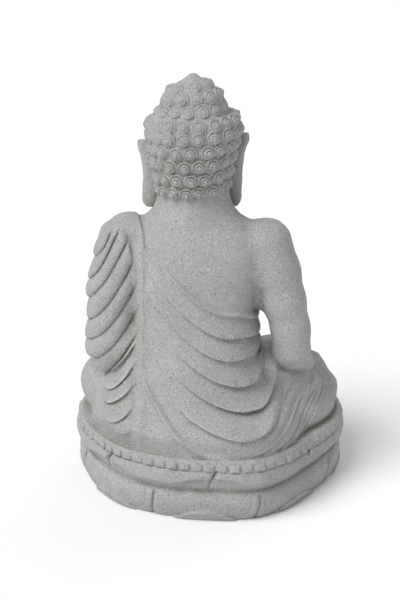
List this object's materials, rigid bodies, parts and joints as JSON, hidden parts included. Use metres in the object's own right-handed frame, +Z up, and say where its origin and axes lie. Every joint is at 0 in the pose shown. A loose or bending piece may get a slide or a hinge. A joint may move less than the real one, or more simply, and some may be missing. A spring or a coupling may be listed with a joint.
{
  "type": "buddha figure",
  "caption": "Carved stone seated Buddha with snail-shell curls, draped robe over the left shoulder and a double lotus plinth, one block.",
  "frame": {"origin": "centre of the plinth's underside: bottom centre of the bounding box", "axes": "+Z up, the figure faces -Y, +X towards the figure's left side"},
  "size_m": [0.3974, 0.3734, 0.6],
  "materials": {
    "stone": "rough hand-carved grey volcanic stone with light and dark grains"
  },
  "bodies": {
    "root": {"buddha_figure": "stone"}
  },
  "joints": []
}
